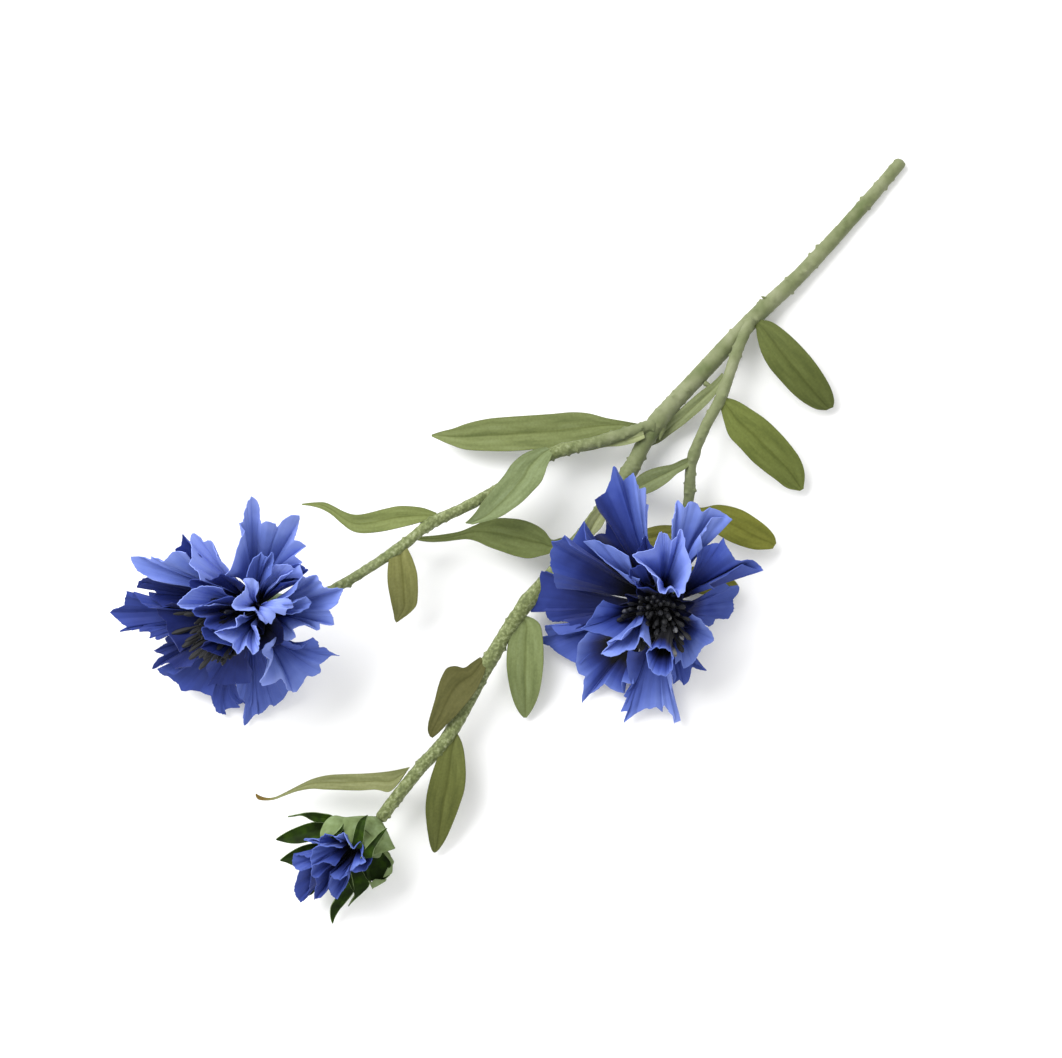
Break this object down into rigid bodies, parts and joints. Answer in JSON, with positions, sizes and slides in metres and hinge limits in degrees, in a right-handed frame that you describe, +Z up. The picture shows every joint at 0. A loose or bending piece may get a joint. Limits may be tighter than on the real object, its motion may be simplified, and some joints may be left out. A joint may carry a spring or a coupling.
{
  "type": "artificial cornflower spray",
  "caption": "Artificial cornflower spray lying down: taped branching wire stem, cloth leaves, open blue blooms with dark stamens and an opening bud.",
  "frame": {"origin": "centre of the footprint on the surface that the spray lies on", "axes": "+Z up from the surface, +X along the main stem from its cut end towards the bud"},
  "size_m": [0.2948, 0.1612, 0.0541],
  "materials": {
    "stem_tape": "pale sage stem tape, waxy and slightly mottled",
    "leaf_cloth": "stiffened velvety leaf cloth with pressed veins",
    "floret_cloth": "stiffened satin-weave cloth, blue with lighter rims",
    "stamen_thread": "near-black threads with grey grains",
    "calyx_green": "dark green moulded calyx",
    "sepal_cloth": "stiffened cloth, dark inside and pale sage outside"
  },
  "bodies": {
    "root": {"stem_main": "stem_tape", "stem_left": "stem_tape", "stem_right": "stem_tape", "leaf_01": "leaf_cloth", "leaf_02": "leaf_cloth", "leaf_03": "leaf_cloth", "leaf_04": "leaf_cloth", "leaf_05": "leaf_cloth", "leaf_06": "leaf_cloth", "leaf_07": "leaf_cloth", "leaf_08": "leaf_cloth", "leaf_09": "leaf_cloth", "leaf_10": "leaf_cloth", "leaf_11": "leaf_cloth", "leaf_12": "leaf_cloth", "leaf_13": "leaf_cloth", "leaf_14": "leaf_cloth", "leaf_15": "leaf_cloth", "leaf_16": "leaf_cloth", "leaf_17": "leaf_cloth", "leaf_18": "leaf_cloth", "left_florets": "floret_cloth", "right_florets": "floret_cloth", "left_stamens": "stamen_thread", "right_stamens": "stamen_thread", "left_calyx": "calyx_green", "right_calyx": "calyx_green", "bud_sepals": "sepal_cloth", "bud_petals": "floret_cloth"}
  },
  "joints": []
}
